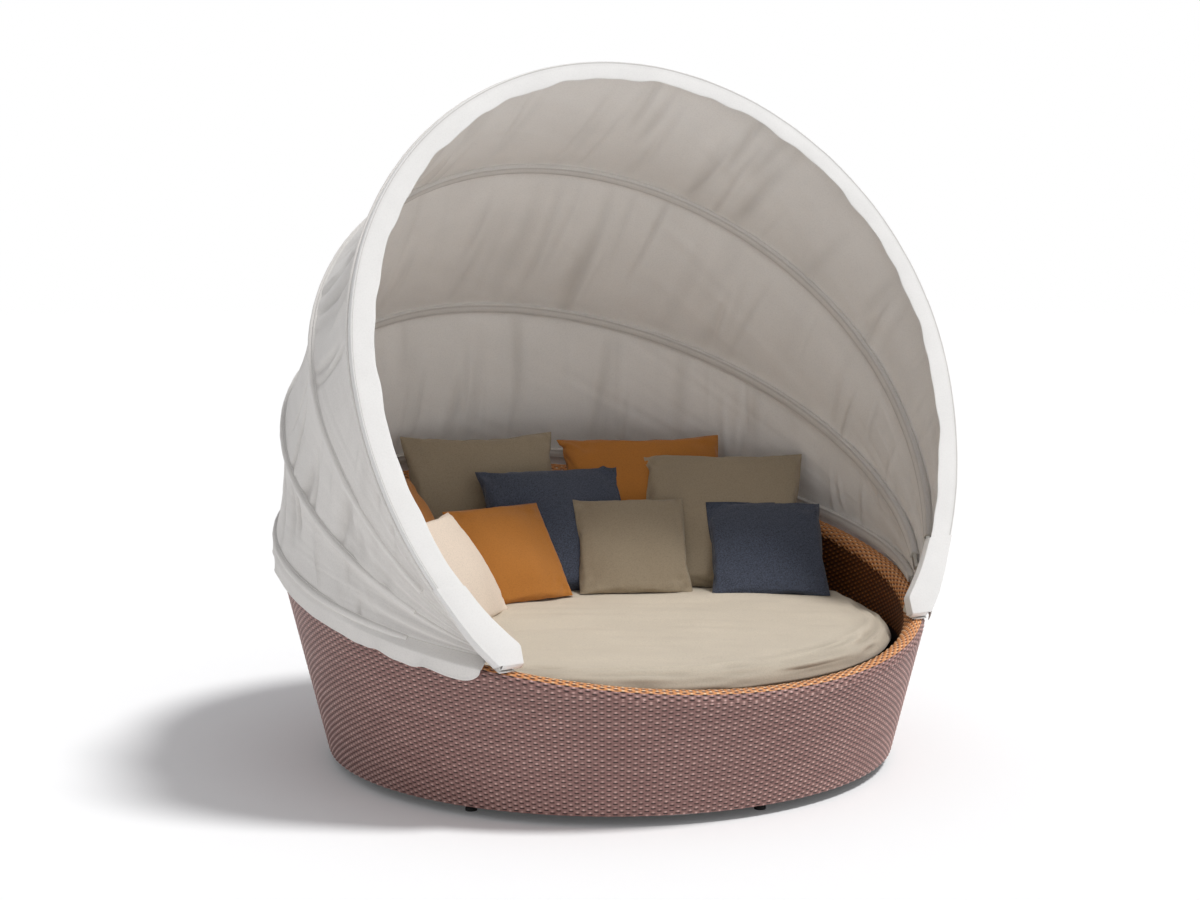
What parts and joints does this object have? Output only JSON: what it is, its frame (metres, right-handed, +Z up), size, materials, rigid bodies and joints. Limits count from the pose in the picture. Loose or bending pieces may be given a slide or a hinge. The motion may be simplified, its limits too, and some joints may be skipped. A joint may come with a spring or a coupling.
{
  "type": "outdoor daybed with canopy",
  "caption": "Round woven outdoor daybed with a slanted rim, thick round mattress, loose pillows and a folding fabric canopy on bent hoops.",
  "frame": {"origin": "on the floor under the centre of the basket, at the underside of the centre leg", "axes": "+Z up, -Y towards the open front, +X to the right seen from the front"},
  "size_m": [1.8088, 1.7896, 1.8708],
  "materials": {
    "weave": "satin",
    "rim_weave": "satin",
    "lining_weave": "satin",
    "dark_frame": "satin",
    "hoop_tube": "satin",
    "steel": "satin",
    "deck_wood": "matte",
    "black_foot": "matte",
    "canopy_cloth": "matte",
    "white_cloth": "matte",
    "mattress_cloth": "matte",
    "taupe_cloth": "matte",
    "orange_cloth": "matte",
    "blue_cloth": "matte",
    "beige_cloth": "matte"
  },
  "bodies": {
    "basket": {"wicker_outer": "weave", "wicker_rim": "rim_weave", "wicker_inner": "lining_weave", "base_bar": "dark_frame", "rim_rail": "dark_frame", "upright_1": "dark_frame", "upright_2": "dark_frame", "upright_3": "dark_frame", "upright_4": "dark_frame", "upright_5": "dark_frame", "upright_6": "dark_frame", "upright_7": "dark_frame", "upright_8": "dark_frame", "deck_frame": "dark_frame", "centre_leg": "dark_frame", "seat_deck": "deck_wood", "foot_1": "black_foot", "foot_2": "black_foot", "foot_3": "black_foot", "foot_4": "black_foot", "foot_5": "black_foot", "foot_6": "black_foot", "mattress": "mattress_cloth", "pillow_taupe_back": "taupe_cloth", "pillow_orange_back": "orange_cloth", "pillow_orange_left": "orange_cloth", "pillow_blue_back": "blue_cloth", "pillow_taupe_right": "taupe_cloth", "pillow_orange_front": "orange_cloth", "pillow_taupe_front": "taupe_cloth", "pillow_blue_front": "blue_cloth", "pillow_beige_left": "beige_cloth", "hoop_rear": "hoop_tube", "panel_back": "canopy_cloth", "skirt": "canopy_cloth", "rim_clip_1": "steel", "rim_clip_2": "steel", "rim_clip_3": "steel", "bracket_right": "dark_frame", "bracket_left": "dark_frame", "pin_right": "steel", "pin_left": "steel", "pin_nut_right": "steel", "pin_nut_left": "steel", "spacer_inner_right": "steel", "spacer_inner_left": "steel", "spacer_outer_right": "steel", "spacer_outer_left": "steel"},
    "bow_back": {"hoop_back": "hoop_tube", "panel_middle": "canopy_cloth"},
    "bow_mid": {"hoop_middle": "hoop_tube", "panel_front": "canopy_cloth"},
    "bow_front": {"hoop_front": "hoop_tube", "front_band": "white_cloth", "cuff_left": "white_cloth", "cuff_right": "white_cloth"}
  },
  "joints": [
    {"name": "canopy_fold", "type": "hinge", "parent": "basket", "child": "bow_back", "pos_m": [0, -0.55364, 0.42071], "axis": [-1, 0, 0], "range_deg": [0, 10.9], "deforming": ["panel_back"]},
    {"name": "mid_fold", "type": "hinge", "parent": "bow_back", "child": "bow_mid", "pos_m": [0, -0.55364, 0.42071], "axis": [-1, 0, 0], "range_deg": [0, 15.1], "deforming": ["panel_middle"]},
    {"name": "front_fold", "type": "hinge", "parent": "bow_mid", "child": "bow_front", "pos_m": [0, -0.55364, 0.42071], "axis": [-1, 0, 0], "range_deg": [0, 13.2], "deforming": ["panel_front"]}
  ]
}
